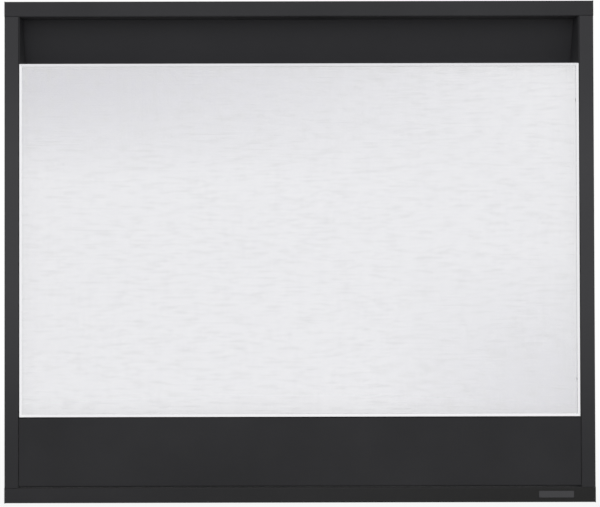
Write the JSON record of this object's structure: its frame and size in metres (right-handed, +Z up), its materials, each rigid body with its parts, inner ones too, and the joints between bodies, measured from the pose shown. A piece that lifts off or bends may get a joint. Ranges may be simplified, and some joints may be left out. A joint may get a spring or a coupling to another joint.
{
  "type": "fireplace mesh front",
  "caption": "Dark folded-sheet fireplace front with an open heat outlet under the top rail, a fine wire-mesh screen and a drop-down access door along the foot.",
  "frame": {"origin": "middle of the front's footprint, on the surface that the bottom rail stands on", "axes": "+X along the width, to the viewer's right; +Y from the face toward the wall; +Z up"},
  "size_m": [0.965, 0.064, 0.82],
  "materials": {
    "charcoal_coat": "fine-texture charcoal powder coat",
    "black_coat": "matt black powder coat",
    "zinc_plate": "bright zinc plate",
    "blackened_steel": "cold-drawn bar with black oxide",
    "stainless": "brushed stainless",
    "mesh_wire": "drawn stainless wire",
    "black_plastic": "moulded, matt",
    "ferrite": "sintered ferrite",
    "black_rubber": "moulded, matt"
  },
  "bodies": {
    "frame": {"top_rail": "charcoal_coat", "bottom_rail": "charcoal_coat", "left_stile": "charcoal_coat", "right_stile": "charcoal_coat", "heat_deflector": "black_coat", "mid_rail": "black_coat", "corner_bracket_top_left": "zinc_plate", "corner_bracket_top_right": "zinc_plate", "corner_bracket_bottom_left": "zinc_plate", "corner_bracket_bottom_right": "zinc_plate", "corner_studs": "zinc_plate", "corner_nuts": "zinc_plate", "deflector_studs": "zinc_plate", "deflector_nuts": "zinc_plate", "mid_rail_studs": "zinc_plate", "mid_rail_nuts": "zinc_plate", "screen_screws": "zinc_plate", "catch_screws": "zinc_plate", "hinge_rod": "blackened_steel", "screen_frame_left": "stainless", "screen_frame_right": "stainless", "screen_frame_top": "stainless", "screen_frame_bottom": "stainless", "mesh_clamp_left": "stainless", "mesh_clamp_right": "stainless", "mesh_clamp_bottom": "stainless", "mesh_clamp_top": "stainless", "mesh_upright_wires": "mesh_wire", "mesh_cross_wires": "mesh_wire", "catch_housing_left": "black_plastic", "catch_housing_right": "black_plastic", "catch_magnet_left": "ferrite", "catch_magnet_right": "ferrite", "door_bumpers": "black_rubber"},
    "access_door": {"door_panel": "charcoal_coat", "door_stiffener": "black_coat"}
  },
  "joints": [
    {"name": "access_door_hinge", "type": "hinge", "parent": "frame", "child": "access_door", "pos_m": [0, -0.02725, 0.02955], "axis": [1, 0, 0], "range_deg": [0, 98]}
  ]
}
